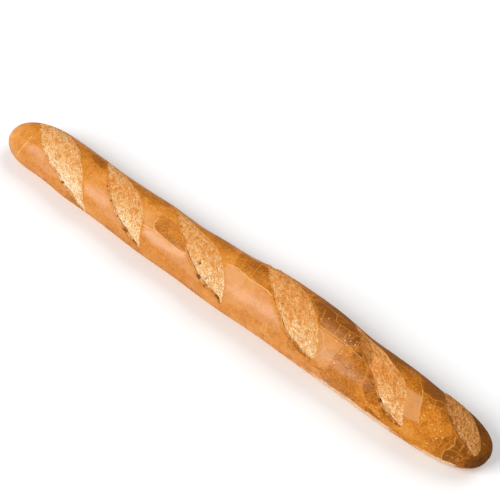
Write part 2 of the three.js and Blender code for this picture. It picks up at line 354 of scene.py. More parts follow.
# Pits where the crumb beside the ears is open, as [x, turn, radius, depth]. The grain frays their edges.
PIT_FRAY = 0.5
PITS = [
    (-238, 34, 1.3, 0.7), (-218, 51, 1.4, 0.8), (-206, 63, 2, 1.1), (-195, 78, 1.5, 1),
    (-186, 88, 2.5, 1.6), (-177, 95, 1.4, 0.9), (-160, 8, 1.3, 0.7), (-146, 29, 1.3, 0.7),
    (-131, 49, 1.4, 0.8), (-118, 66, 2.2, 1.5), (-115, 68, 2.2, 1.5), (-103, 76, 2.2, 1.5),
    (-100, 79, 2.1, 1.4), (-61, 2, 1.2, 0.7), (-27, 28, 2, 1.5), (-26, 18, 1.3, 1), (-24, 52, 1.4, 1),
    (-21, 55, 2.5, 1.7), (-11, 63, 2.1, 1.1), (-13, 46, 1.3, 0.9), (4, 67, 2.3, 1.8), (7, 72, 2.7, 2.3),
    (9, 79, 2.1, 1.6), (86, 51, 1.1, 0.9), (91, 55, 1.3, 1.1), (96, 57, 1.3, 1.1), (99, 59, 1.3, 1.1),
    (103, 60, 1.3, 1.1), (107, 61, 1.3, 1.1), (111, 62, 1.2, 1), (114, 62, 1.2, 1), (57, 13, 1.2, 0.8),
    (66, 12, 1.2, 0.8), (181, 30, 1.2, 0.8), (188, 41, 1.3, 0.9), (194, 47, 2.5, 1.7), (200, 58, 1.5, 1),
    (203, 62, 2, 1.4), (205, 69, 2.1, 1.6), (208, 64, 1.5, 1.2), (211, 70, 2, 1.6), (217, 70, 2.5, 1.8),
    (220, 70, 2, 1.4), (230, 44, 1.2, 0.8),
]

# A distance that stands for none nearer.
FAR_AWAY = 60.0
OTHER_CORNERS = (31, 57)


def lumps(x, arc, size):
    """Rounded lumps from 0 to 1: one centre strewn in every square of a lattice, and at each point 1 less
    the squared distance to the nearest centre."""
    i = np.floor(x / size)
    j = np.floor(arc / size)
    nearest = np.full(x.shape, FAR_AWAY)
    for di in (-1, 0, 1):
        for dj in (-1, 0, 1):
            aside_x = LUMP_SCATTER * corner_values(i + di, j + dj + OTHER_CORNERS[1])
            aside_arc = LUMP_SCATTER * corner_values(i + di + OTHER_CORNERS[0], j + dj)
            centre_x = (i + di + 0.5 + aside_x) * size
            centre_arc = (j + dj + 0.5 + aside_arc) * size
            nearest = np.minimum(nearest, ((x - centre_x) ** 2 + (arc - centre_arc) ** 2) / size**2)
    return np.clip(1.0 - nearest, 0.0, 1.0)


# For every point of the grid: how far it is raised off the plain body and leans along it and round it, how
# far inside the torn dough it lies, the depth of the split, how high it stands among the strands and lumps,
# and its place in the cut, counted in strands.
relief = np.zeros(x.shape)
lean_x = np.zeros(x.shape)
lean_round = np.zeros(x.shape)
torn_inside = np.full(x.shape, -FAR_AWAY)
split_depth = np.zeros(x.shape)
pile = np.zeros(x.shape)
pull_along = np.zeros(x.shape)
pull_across = np.zeros(x.shape)

twisted_x = x + TWISTS[1] * unevenness(x, arc, TWISTS[0], (0.0, TWIST_SHIFT))
twisted_arc = arc + TWISTS[1] * unevenness(x, arc, TWISTS[0], (TWIST_SHIFT, 0.0))
lump = lumps(twisted_x, twisted_arc, LUMPS[0])
grain = unevenness(x, arc, GRAIN[0])
stretches = unevenness(x, arc, SPLIT_STRETCH, STRETCH_SHIFT)
uneven_split = LEAST_SPLIT + SPLIT_VARIES * ease(stretches, *STRETCH_EDGES)
for cut in cuts:
    from_start = np.stack([x - cut["start"][0], arc - cut["start"][1]], axis=-1)
    p = from_start @ cut["along"] / cut["length"]
    offset = from_start @ cut["across"] + raggedness(x, arc)
    ear = -bow(cut["ear"], p)
    far = bow(cut["far"], p)
    width = far - ear
    strength = ease(p, 0.0, TIP_FADE) * ease(1 - p, 0.0, TIP_FADE)
    strength *= np.minimum(1.0, width / FULL_RELIEF_WIDTH)
    opening = ease(p, *SPLIT_OPENS) * np.minimum(1.0, width / FULL_SPLIT_WIDTH)
    lift = ease(p, *LIPS_RISE)
    drop = TORN_DROP * (LEAST_DROP + (1 - LEAST_DROP) * ease(p, *SPLIT_OPENS))
    from_ear = offset - ear
    from_far = offset - far
    on_ear = (from_ear <= 0) & (width > 0)
    beyond = (from_far > 0) & (width > 0)
    inside = (from_ear > 0) & (from_far <= 0) & (width > 0)

    # The dough's own roughness, which sets in at a small distance from the edges.
    twisted = np.stack([twisted_x - cut["start"][0], twisted_arc - cut["start"][1]], axis=-1)
    strand_along = twisted @ cut["along"] / STRANDS[0]
    strand_across = twisted @ cut["across"] / STRANDS[1]
    drawn_out = unevenness(strand_along, strand_across, 1.0, (cut["start"][0], 0.0))
    strand = 1.0 - np.abs(drawn_out) * STRAND_SHARPNESS
    rough = CRAGS[1] * unevenness(x, arc, CRAGS[0]) + STRANDS[2] * (strand - STRAND_MEAN)
    rough += LUMPS[1] * (lump - LUMP_MEAN) + GRAIN[1] * grain
    own_pile = PILE_SHARES[0] * strand + PILE_SHARES[1] * lump + PILE_SHARES[2] * (0.5 + 0.5 * grain)
    pile = np.where(inside, own_pile, pile)
    sets_in = np.clip(np.minimum(from_ear, -from_far) / ROUGHNESS_SETS_IN, 0.0, 1.0)

    # The ear's lip, the split beside it, the torn dough that swells towards the far edge, and the swelling
    # that goes on beyond that edge.
    near = np.exp(np.minimum(0.0, from_ear) / EAR_REACH)
    t = from_ear / np.maximum(width, TINY)
    s = np.clip(from_ear / SPLIT_WIDTH, 0.0, 1.0)
    eased = ease(s, 0.0, 1.0)
    torn = -drop + (drop + SWELL * lift) * t * (2 - t) + sets_in * rough
    in_split = opening * uneven_split * ease(p, *SPLIT_DEEPENS) * np.sin(math.pi * s)
    inside_rise = strength * (EAR_LIFT * lift * (1 - eased) + torn * eased) - cut["split"] * in_split
    ear_rise = strength * lift * EAR_LIFT * near
    swell = strength * lift * (SWELL - FAR_STEP) * np.exp(-np.maximum(0.0, from_far) / SWELL_REACH)
    relief += np.select([on_ear, beyond, inside], [ear_rise, swell, inside_rise], 0.0)
    ear_lean = opening * EAR_LEAN * near**EAR_LEAN_SHARPNESS
    lean = np.select([on_ear, inside], [ear_lean, opening * EAR_LEAN * (1 - eased)], 0.0)
    lean_x += lean * cut["across"][0]
    lean_round += lean * cut["across"][1]

    along_left = np.minimum(p, 1 - p) * cut["length"]
    depth_inside = np.minimum(np.minimum(from_ear, -from_far), along_left)
    pull_along = np.where(depth_inside > torn_inside, strand_along, pull_along)
    pull_across = np.where(depth_inside > torn_inside, strand_across, pull_across)
    torn_inside = np.maximum(torn_inside, depth_inside)
    split_depth = np.maximum(split_depth, np.where(inside, in_split * cut["split"], 0.0))

pitted = np.zeros(x.shape)
for pit_x, pit_turn, radius, depth in PITS:
    away = np.hypot(x - pit_x, arc - arc_of(pit_turn)) / radius
    hollow = np.exp(-(away**2) * (1.0 + PIT_FRAY * grain))
    relief -= depth * hollow
    pitted = np.maximum(pitted, hollow)

smooth = (1 - ease(np.abs(turns), *SMOOTH_TURNS)) * share_at(x)
relief += smooth * DENTS[1] * unevenness(x, arc, DENTS[0])
relief += smooth * SMALL_DENTS[1] * unevenness(x, arc, SMALL_DENTS[0])

# The relief stands off the plain body at a right angle, which is found from two short steps over the body, in
# millimetres along it and in degrees round it. Nothing reaches below the base.
STEP = 0.2
points = body_points(x, turns)
along_x = body_points(np.minimum(x + STEP, LENGTH / 2), turns)
along_x = along_x - body_points(np.maximum(x - STEP, -LENGTH / 2), turns)
along_x /= np.linalg.norm(along_x, axis=-1, keepdims=True)
round_turn = body_points(x, turns + STEP) - body_points(x, turns - STEP)
round_turn /= np.linalg.norm(round_turn, axis=-1, keepdims=True)
normals = np.cross(round_turn, along_x)
normals /= np.linalg.norm(normals, axis=-1, keepdims=True)
points = points + relief[..., None] * normals
points = points + lean_x[..., None] * along_x + lean_round[..., None] * round_turn
points[..., 2] = np.maximum(0.0, points[..., 2])

# The colours follow fields on the skin. A region is a part of it, given as steps along the loaf (pairs of x)
# and round it (pairs of turns), and a patch as [x, turn] and how far it reaches along and round.


def region(along, around):
    """The product of smooth steps, each of them 0 at the first value of its pair and 1 at the second."""
    steps = [ease(x, *pair) for pair in along] + [ease(turns, *pair) for pair in around]
    return np.prod(steps, axis=0)


def patch(place, reach):
    """1 at a place and less round it: e to the power of minus the squared distance, counted in reaches."""
    return np.exp(-(((x - place[0]) / reach[0]) ** 2) - ((turns - place[1]) / reach[1]) ** 2)


def summed(regions, patches):
    """The sum of regions and of patches, each times its amount."""
    total = sum(amount * region(along, around) for amount, along, around in regions)
    return total + sum(amount * patch(place, reach) for amount, place, reach in patches)


# How dark the crust is baked: 0 is pale and floury, 1 is nearly burnt. It is darker towards the far side and
# towards the dark end, and pale underneath. One patch, beside the front tip of the fourth cut, is painted
# shade of its ear over browner crust.
EVEN_BAKE = 0.42
MOST_BAKED = 0.9
UNDERSIDE_BAKE = 0.22
UNDERSIDE_TURNS = (100.0, 140.0)
BAKE_WANDERS = (26.0, 0.07)
BAKE_REGIONS = [
    (0.20, [], [(8, -38)]),
    (0.08, [(60, 190)], [(8, -38)]),
    (0.14, [], [(-34, -60)]),
    (0.20, [(60, 190)], [(-34, -60)]),
    (0.13, [(60, 190)], []),
    (0.16, [(244, 284)], []),
    (0.11, [(205, 232)], [(24, -6)]),
    (0.04, [(120, 60)], [(4, 24), (70, 50)]),
    (0.05, [(90, 20)], [(48, 75)]),
    (0.05, [(-235, -275)], [(25, 50)]),
]
BAKE_AND_SHADE_PATCHES = [
    (0.09, (245, 14), (18, 18)),
    (-0.24, (226, 66), (15, 24)),
    (0.05, (132, -22), (24, 22)),
    (0.12, (163, 18), (18, 20)),
    # Painted shade of the fourth cut's ear, over browner crust.
    (0.07, (98, 67), (18, 10)),
    (-0.08, (12, -46), (26, 14)),
    (-0.08, (38, 92), (40, 12)),
]
BAKED_BAND = ((155, 0), (24, math.inf))
BAKED_BAND_REGION = ([], [(-30, 0)])
BAKED_BAND_AMOUNT = 0.05

underneath = ease(np.abs(turns), *UNDERSIDE_TURNS)
baked_band = patch(*BAKED_BAND) * region(*BAKED_BAND_REGION)
bake = EVEN_BAKE + summed(BAKE_REGIONS, BAKE_AND_SHADE_PATCHES) + BAKED_BAND_AMOUNT * baked_band
bake += BAKE_WANDERS[1] * unevenness(x, arc, BAKE_WANDERS[0]) * (1 - underneath)
bake = np.minimum(bake, MOST_BAKED)
bake += (UNDERSIDE_BAKE - bake) * underneath

# The crust shines along its near side, except on the darker third of the loaf, hardly behind its crown, and
# again in a band farther back on the pale half.
NEAR_SHINE = 0.9
NEAR_SHINE_REGION = ([(205, 120)], [(110, 80)])
DULL_REGION = ([], [(5, -22)])
DULLED_BY = 0.97
FAR_SHINE = 0.6
FAR_SHINE_REGION = ([(70, -20)], [(-36, -54), (-120, -90)])
shine = NEAR_SHINE * region(*NEAR_SHINE_REGION) * (1 - DULLED_BY * region(*DULL_REGION))
shine += FAR_SHINE * region(*FAR_SHINE_REGION)

# Flour and pale dough show in a band above the base, which is strongest on the near side of the dark half and
# fades in one place there, and on the underside, except near its ends. The crust is also paler in a thinner
# band low on the sides, more so from x 0 on.
FLOURY_REGION = ([(60, 175), (288, 272)], [(83, 95), (150, 120)])
RUBBED_OFF = 0.7
RUBBED_OFF_BAND = ((228, 0), (18, math.inf))
THIN_PALE_BAND = 0.3
THIN_REGION = ([], [(95, 104), (150, 120)])
MORE_PALE_BAND = 0.25
MORE_REGION = ([(0, 100)], [])
BASE_FLOUR = 0.6
BASE_FLOUR_TURNS = (118.0, 145.0)
BASE_FLOUR_ENDS = (285.0, 255.0)
floury = region(*FLOURY_REGION) * (1 - RUBBED_OFF * patch(*RUBBED_OFF_BAND))
thinly = (THIN_PALE_BAND + MORE_PALE_BAND * region(*MORE_REGION)) * region(*THIN_REGION)
base_flour = BASE_FLOUR * ease(np.abs(turns), *BASE_FLOUR_TURNS) * ease(np.abs(x), *BASE_FLOUR_ENDS)
floury = np.maximum(np.maximum(floury, thinly), base_flour)

# The dark end starts at a crisp line across the loaf, given as x at some turns.
DARK_END_TURNS = [-180, -150, -128, -110, -66, -40, -21, -4, 6, 28, 46, 63, 86, 92, 115, 150, 180]
DARK_END_X = [293, 286, 268, 248, 252, 262, 270, 277, 283, 286, 287, 286, 285, 287, 291, 294, 293]
dark_end = x - np.interp(turns, DARK_END_TURNS, DARK_END_X)

# Outlines on the skin, as [x, turn] from corner to corner: plates of crust that are darker or paler than the
# rest, the paler ones with painted sheen, patches of painted pinkish sheen, and the dark start of the fifth
# cut's torn dough.
DARK_PLATES = [
    [(107, 6), (158, 4), (146, -24), (138, -44), (110, -64), (82, -52), (82, -29), (98, -11)],
    [(-6, -50), (2, 0), (24, 4), (45, 6), (53, 9), (33, -25), (27, -36)],
    [(-94, 5), (-92, -6), (-82, -9), (-71, -7), (-56, 10), (-47, 20), (-49, 28), (-58, 31), (-70, 29),
     (-92, 20)],
    [(268, 24), (271, 37), (269, 51), (266, 60), (266, 78), (267, 90), (282, 89), (286, 71), (288, 46),
     (281, 34)],
    [(211, -50), (215, -32), (220, -12), (232, -13), (239, -16), (243, -31), (236, -73), (216, -70)],
    [(-203, -30), (-197, -44), (-183, -40), (-176, -19), (-182, -15), (-194, -19)],
]
# Paler plates: partly a paler crust of their own, partly a painted pinkish sheen.
PALE_SHEEN_PLATES = [
    [(-1, 0), (9, 0), (20, 3), (23, 17), (23, 32), (13, 30), (4, 22), (-3, 9)],
    [(-99, 26), (-85, 25), (-72, 29), (-60, 31), (-49, 29), (-43, 34), (-60, 45), (-73, 49), (-82, 55),
     (-95, 39)],
    [(203, 0), (215, -2), (224, -5), (228, 12), (232, 29), (235, 38), (224, 46), (212, 40)],
    [(100, 14), (110, 10), (127, 6), (138, 5), (137, 20), (137, 38), (136, 58), (131, 63), (121, 60),
     (112, 50)],
    [(-109, 7), (-102, 5), (-94, 7), (-90, 20), (-91, 26), (-99, 27), (-104, 19)],
]
# Patches of painted pinkish sheen: a highlight mixed into the crust colour.
SHEEN_PLATES = [
    [(-260, 31), (-246, 24), (-223, 38), (-207, 58), (-226, 70), (-247, 66), (-262, 52)],
    [(-173, 22), (-160, 15), (-148, 27), (-126, 51), (-121, 66), (-142, 66), (-161, 56), (-172, 46)],
    [(-91, 28), (-64, 32), (-47, 32), (-33, 42), (-19, 62), (-40, 61), (-61, 59), (-82, 56), (-92, 52)],
    [(-2, 5), (5, 0), (22, 4), (50, 11), (60, 25), (75, 40), (84, 55), (73, 62), (44, 62), (23, 66),
     (9, 62), (-10, 30)],
    [(123, 12), (150, 9), (158, 24), (168, 43), (155, 50), (132, 58), (120, 60)],
]
DARK_TORN = [
    [(136, -40), (138, -28), (142, -21), (148, -8), (158, 4), (167, 8), (168, 0), (164, -12), (155, -26),
     (147, -37)],
]


def off_side(x, arc, start, end):
    """Distance to a straight side: to the point on it at the share of the way where a right angle meets it,
    or to the end that lies nearer."""
    (ax, ay), (bx, by) = start, end
    share = np.clip(((x - ax) * (bx - ax) + (arc - ay) * (by - ay)) / ((bx - ax) ** 2 + (by - ay) ** 2), 0, 1)
    return np.hypot(x - ax - share * (bx - ax), arc - ay - share * (by - ay))


def inside_outlines(outlines, x, arc):
    """Distance to the nearest side of the nearest outline, positive inside it: the sign comes from counting
    how many sides are crossed on the way out."""
    best = np.full(x.shape, -FAR_AWAY)
    for outline in outlines:
        corners = [(corner[0], arc_of(corner[1])) for corner in outline]
        nearest = np.full(x.shape, FAR_AWAY)
        crossings = np.zeros(x.shape, dtype=int)
        for start, end in zip(corners, corners[1:] + corners[:1]):
            nearest = np.minimum(nearest, off_side(x, arc, start, end))
            passes = (start[1] > arc) != (end[1] > arc)
            slope = (end[0] - start[0]) / (end[1] - start[1]) if end[1] != start[1] else 0.0
            crossings += passes & (x < start[0] + (arc - start[1]) * slope)
        best = np.maximum(best, np.where(crossings % 2 == 1, nearest, -nearest))
    return best


# What tore is paler towards the near side, partly as painted light, and greyer towards the far side and darker
# in the last cut, partly as painted shade.
TORN_TONE_AND_LIGHT_REGIONS = [
    (0.42, [], [(-2, 42)]),
    (0.12, [], [(25, 55)]),
    (0.2, [(-90, -230)], []),
    (-0.18, [(222, 236)], []),
    (-0.12, [(20, 80), (236, 215)], []),
]
TORN_TONE_PATCHES = [
    (-0.22, (-143, 1), (15, 15)),
    (0.16, (-60, -14), (20, 20)),
]
TORN_TONE_WANDERS = (15.0, 0.12)
TORN_GREY_AND_SHADE_REGIONS = [
    (0.5, [], [(-22, -60)]),
    (0.85, [(222, 236)], []),
]
DARK_START_FRAYS = 1.5
DARK_START_EDGE = (-0.8, 2.4)
DARK_START_DARKER = 0.3
DARK_START_GREYER = 0.7
MOST_GREY = 0.85

dark_start = ease(inside_outlines(DARK_TORN, x, arc) + DARK_START_FRAYS * pile, *DARK_START_EDGE)
torn_tone_and_light = summed(TORN_TONE_AND_LIGHT_REGIONS, TORN_TONE_PATCHES) - DARK_START_DARKER * dark_start
torn_tone_and_light += TORN_TONE_WANDERS[1] * unevenness(x, arc, TORN_TONE_WANDERS[0])
torn_grey = np.minimum(summed(TORN_GREY_AND_SHADE_REGIONS, []) + DARK_START_GREYER * dark_start, MOST_GREY)

# Cracks in the crust, each a line of [x, turn], and the raised rims of plates that curled up beside a crack;
# the rims' pale line is a painted highlight.
CRACKS = [
    [(120, 59), (118, 76), (115, 92)],
    [(101, -22), (105, -6), (107, 5)],
    [(122, -18), (124, 3)],
    [(132, -20), (133, 2)],
    [(145, -24), (148, 0)],
    [(86, -29), (94, -36), (110, -34), (124, -38)],
    [(112, -32), (116, -17), (130, -20), (141, -25)],
    [(86, -26), (88, -43), (97, -52)],
    [(5, -32), (10, -1)],
    [(20, -36), (24, 1)],
    [(23, 8), (24, 32)],
    [(20, 34), (15, 50), (12, 68)],
    [(12, 30), (26, 34), (46, 40), (66, 44)],
    [(-86, 26), (-86, 54)],
    [(-66, 30), (-66, 47)],
    [(-92, 54), (-80, 56), (-66, 44)],
    [(223, 46), (228, 43), (234, 41)],
    [(220, -10), (226, -13), (232, -11), (238, -19), (244, -17), (248, -8)],
    [(235, -11), (237, 1), (241, 8), (245, 8), (249, 4)],
    [(245, 8), (247, 17), (252, 25), (253, 37), (250, 47), (255, 59), (257, 73)],
    [(234, 38), (242, 36), (250, 35)],
    [(253, 37), (259, 36), (260, 51), (258, 68)],
    [(269, 51), (276, 49), (283, 59), (286, 53)],
    [(277, 25), (277, 44)],
    [(277, 81), (281, 67), (285, 66)],
    [(208, -34), (213, -26), (218, -16), (220, -10)],
    [(-272, 81), (-253, 83), (-222, 80)],
    [(-178, -32), (-160, -30)],
]
RIMS = [
    [(109, 6), (123, 4), (137, 2), (146, 3), (159, 6)],
    [(109, 10), (116, 12), (122, 25), (126, 30), (124, 39), (120, 59)],
    [(-4, 2), (0, 0), (8, -1), (17, 2), (24, 5), (45, 7), (53, 11)],
    [(-102, 30), (-94, 30), (-88, 26), (-73, 28), (-62, 30), (-48, 32), (-44, 26)],
    [(-266, 16), (-266, 34), (-269, 56), (-272, 81)],
    [(220, -12), (223, -4), (227, 12), (231, 27), (234, 38)],
    [(-92, 4), (-92, 14), (-88, 24)],
    [(268, 24), (271, 37), (269, 51), (266, 60), (266, 78), (267, 90)],
]


def off_lines(lines, x, arc):
    """Distance to the nearest line, and the same with a sign that says on which side of it a point lies."""
    nearest = np.full(x.shape, FAR_AWAY)
    signed = np.full(x.shape, FAR_AWAY)
    for line in lines:
        places = [(place[0], arc_of(place[1])) for place in line]
        for start, end in zip(places, places[1:]):
            distance = off_side(x, arc, start, end)
            turned = (end[0] - start[0]) * (arc - start[1]) - (end[1] - start[1]) * (x - start[0])
            signed = np.where(distance < nearest, np.sign(turned) * distance, signed)
            nearest = np.minimum(nearest, distance)
    return nearest, signed


crack_near, crack_side = off_lines(CRACKS, x, arc)
rim_near, rim_side = off_lines(RIMS, x, arc)

# The mesh: rings of quads from row to row, and a fan of triangles at each end point. It is centred, and drawn
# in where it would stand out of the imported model's box.
row_count, around = x.shape
ends = body_points(np.array([-LENGTH / 2, LENGTH / 2]), np.zeros(2))
vertices = np.concatenate([ends[:1], points.reshape(-1, 3), ends[1:]])
middle = (vertices.min(axis=0) + vertices.max(axis=0)) / 2
vertices[:, :2] -= middle[:2]
model_reach = (np.array(model_box[1]) - np.array(model_box[0])) / METRES
vertices *= np.minimum(1.0, model_reach / (vertices.max(axis=0) - vertices.min(axis=0)))

first = 1 + np.arange(row_count - 1)[:, None] * around + np.arange(around)
second = 1 + np.arange(row_count - 1)[:, None] * around + (np.arange(around) + 1) % around
quads = np.stack([first, second, second + around, first + around], axis=-1).reshape(-1, 4)
ring = 1 + np.arange(around)
next_ring = 1 + (np.arange(around) + 1) % around
last_ring = (row_count - 1) * around
low_fan = np.stack([np.zeros(around, dtype=int), next_ring, ring], axis=-1)
high_fan = np.stack([np.full(around, len(vertices) - 1), ring + last_ring, next_ring + last_ring], axis=-1)

mesh = bpy.data.meshes.new("baked_loaf")
mesh.from_pydata((vertices * METRES).tolist(), [], quads.tolist() + low_fan.tolist() + high_fan.tolist())
mesh.polygons.foreach_set("use_smooth", np.ones(len(mesh.polygons), dtype=bool))


def with_ends(values):
    """One value for each vertex: the end points take the value of the ring beside them."""
    return np.concatenate([values[:1, 0], values.ravel(), values[-1:, 0]])


# The fields that the finish reads off the mesh, by name.
BLISTERED_REGION = ([(60, 130)], [(-28, -5)])
fields = dict(
    torn=torn_inside,
    split=split_depth,
    # The pile also carries the torn dough's tone, with its painted light and shade.
    pile=pile + torn_tone_and_light,
    pull_along=pull_along,
    pull_across=pull_across,
    torn_grey=torn_grey,
    pitted=pitted,
    bake=bake,
    floury=floury,
    shine=shine,
    blistered=region(*BLISTERED_REGION),
    dark_end=dark_end,
    dark_plate=inside_outlines(DARK_PLATES, x, arc),
    pale_plate=inside_outlines(PALE_SHEEN_PLATES, x, arc),
    rubbed=inside_outlines(SHEEN_PLATES, x, arc),
    along=x,
    round=arc,
    crack_near=crack_near,
    crack_side=crack_side,
    rim_near=rim_near,
    rim_side=rim_side,
)
for name, values in fields.items():
    attribute = mesh.attributes.new(name, "FLOAT", "POINT")
    attribute.data.foreach_set("value", with_ends(values))

loaf = bpy.data.objects.new("baked_loaf", mesh)
bpy.context.scene.collection.objects.link(loaf)


class Shade:
    """One value in a material. Arithmetic on it adds the Math nodes that work the result out."""

    def __init__(self, socket):
        self.socket = socket

    @staticmethod
    def node(tree, kind, settings=None, inputs=None, output=0):
        """Add a node of a kind, with its settings first and then its sockets' values or links."""
        made = tree.nodes.new(kind)
        for name, value in (settings or {}).items():
            if name == "stops":
                elements = made.color_ramp.elements
                while len(elements) < len(value):
                    elements.new(1.0)
                for element, stop in zip(elements, value):
                    element.position, element.color = stop
            else:
                setattr(made, name, value)
        for name, value in (inputs or {}).items():
            if isinstance(value, Shade):
                tree.links.new(value.socket, made.inputs[name])
            else:
                made.inputs[name].default_value = value
        return Shade(made.outputs[output])

    def math(self, operation, first, second):
        """The result of a Math node on two values."""
        settings = dict(operation=operation)
        return Shade.node(self.socket.id_data, "ShaderNodeMath", settings, {0: first, 1: second})

    def __add__(self, other):
        return self.math("ADD", self, other)

    def __radd__(self, other):
        return self.math("ADD", other, self)

    def __sub__(self, other):
        return self.math("SUBTRACT", self, other)

    def __rsub__(self, other):
        return self.math("SUBTRACT", other, self)

    def __mul__(self, other):
        return self.math("MULTIPLY", self, other)

    def __rmul__(self, other):
        return self.math("MULTIPLY", other, self)

    def __abs__(self):
        return self.math("ABSOLUTE", self, 0.0)

    def greater(self, other):
        """The greater of this and another value."""
        return self.math("MAXIMUM", self, other)

    def eased(self, low, high):
        """0 at low, 1 at high, and a smooth step between."""
        settings = dict(interpolation_type="SMOOTHSTEP")
        inputs = {"Value": self, "From Min": low, "From Max": high}
        return Shade.node(self.socket.id_data, "ShaderNodeMapRange", settings, inputs)

    def toward(self, other, share):
        """This colour mixed towards another by a share. The Mix node's colour sockets go by number."""
        inputs = {0: share, 6: self, 7: other}
        return Shade.node(self.socket.id_data, "ShaderNodeMix", dict(data_type="RGBA"), inputs, 2)


SRGB_OFFSET = 0.055
SRGB_POWER = 2.4
SRGB_SLOPE = 12.92
SRGB_TOE = 0.04


def colour(*display):
    """A display colour from 0 to 255 as the linear colour that a shader takes: the sRGB curve is a straight
    line near black and a power above it."""
    channels = np.array(display) / 255
    curved = ((channels + SRGB_OFFSET) / (1 + SRGB_OFFSET)) ** SRGB_POWER
    return (*np.where(channels > SRGB_TOE, curved, channels / SRGB_SLOPE).tolist(), 1.0)


# The finish: a crust that goes from floury through golden to dark brown as it bakes, and torn dough that is
# paler, with light tips and orange hollows that are partly painted light and shade, and greyer on the far side
# and in the last cut, partly as painted shade.
CRUST_COLOURS = [
    (0.0, colour(236, 194, 140)),
    (0.25, colour(226, 156, 78)),
    (0.5, colour(206, 126, 38)),
    (0.75, colour(153, 87, 20)),
    (1.0, colour(66, 40, 20)),
]
# Torn dough by height: light tips partly painted light, orange hollows partly painted shade.
TORN_LIT_AND_SHADED_COLOURS = [
    (0.0, colour(200, 116, 44)),
    (0.35, colour(215, 148, 80)),
    (0.65, colour(229, 182, 122)),
    (1.0, colour(249, 229, 198)),
]
# The same, greyer, with shade partly painted in.
TORN_GREY_AND_SHADE_COLOURS = [
    (0.0, colour(146, 90, 36)),
    (0.25, colour(172, 114, 54)),
    (0.6, colour(202, 150, 94)),
    (1.0, colour(230, 194, 150)),
]
CRACK_COLOUR = colour(222, 140, 56)
# The rims' painted highlight, and the pale colour of the blisters.
RIM_HIGHLIGHT_AND_SPECK_COLOUR = colour(240, 184, 116)
FLOUR_COLOUR = colour(234, 200, 164)
# The split's browner crust with painted shade, and the painted shade of the pits.
SPLIT_BROWN_AND_SHADE_COLOUR = colour(126, 60, 16)
PIT_SHADE_COLOUR = colour(96, 50, 18)
# The pale plates' colour, with painted sheen, and the colour of the painted pinkish sheen.
PALE_SHEEN_CRUST = colour(226, 168, 114)
SHEEN_CRUST_COLOUR = colour(222, 160, 114)

crust = bpy.data.materials.new("crust")
crust.use_nodes = True
tree = crust.node_tree
shader = tree.nodes["Principled BSDF"]
on_loaf = Shade.node(tree, "ShaderNodeTexCoord", output="Object")


def field(name):
    """The values that the mesh holds under a name."""
    return Shade.node(tree, "ShaderNodeAttribute", dict(attribute_name=name), output="Fac")


def noise(size, detail=2.0, at=on_loaf, output=0):
    """Noise between 0 and 1 with bumps of a given size, in metres where it is laid on the loaf itself."""
    inputs = {"Vector": at, "Scale": 1.0 / size, "Detail": detail}
    return Shade.node(tree, "ShaderNodeTexNoise", None, inputs, output)


def wander(size, detail=2.0):
    """The same noise around 0, between -0.5 and 0.5."""
    return noise(size, detail) - 0.5


def ramp(stops, value):
    """The colour at a value, between stops."""
    return Shade.node(tree, "ShaderNodeValToRGB", dict(stops=stops), {"Fac": value})


def cells(scale, at=on_loaf, feature="F1", dimensions="3D", output="Distance"):
    """Cells round points strewn at random: the distance to the point or to the border of the cell."""
    settings = dict(feature=feature, voronoi_dimensions=dimensions)
    return Shade.node(tree, "ShaderNodeTexVoronoi", settings, {"Vector": at, "Scale": scale}, output)


def cell_number(scale, at, dimensions="3D"):
    """A random number between 0 and 1 for each of the same cells."""
    inputs = {"Color": cells(scale, at, dimensions=dimensions, output="Color")}
    return Shade.node(tree, "ShaderNodeSeparateColor", None, inputs)


def bordered(name, wanders, low, high):
    """0 where a field lies below low and 1 where it lies above high, after noises moved its border: each is
    given with how far it moves it."""
    moved = field(name)
    for wandering, reach in wanders:
        moved = moved + wandering * reach
    return moved.eased(low, high)


waver = wander(size=0.004)
fine = wander(size=0.0016, detail=3.0)
finest = wander(size=0.0011)
torn_mask = bordered("torn", [(waver, 1.5), (fine, 0.9)], low=-0.5, high=0.5)
dark_end_mask = bordered("dark_end", [(wander(size=0.008), 6.0)], low=-0.5, high=0.6)
dark_plate_mask = bordered("dark_plate", [(waver, 1.2)], low=-0.4, high=0.5)
pale_sheen_mask = bordered("pale_plate", [(waver, 2.4), (wander(size=0.012), 3.0)], low=-0.8, high=1.6)
sheen_mask = bordered("rubbed", [(waver, 4.0)], low=-1.5, high=3.0)
floury_mask = bordered("floury", [(waver, 0.8), (fine, 0.8)], low=0.3, high=0.75)
# The bake, with one patch of painted shade by the fourth cut's ear.
baked = field("bake")
blistered = field("blistered")

# Crackle: cells about a finger's width across, each a little darker or paler, with a hairline round it. It
# comes in stretches, more of them in darker or blistered crust, and not where it is floury.
CRACKLE_CELLS = 85.0
CRACKLE_TWIST_SIZE = 1.0 / 60.0
CRACKLE_TWIST = 0.014
CRACKLE_STRETCH = 0.04
STRETCH_WEIGHT = 1.6
BAKE_WEIGHT = 0.3
BLISTER_WEIGHT = 0.15
CRACKLED_ABOVE = (0.92, 1.12)
HAIRLINE_WAVER = 0.04
HAIRLINE_WIDTH = 0.035
HAIRLINE_STRENGTH = 0.7

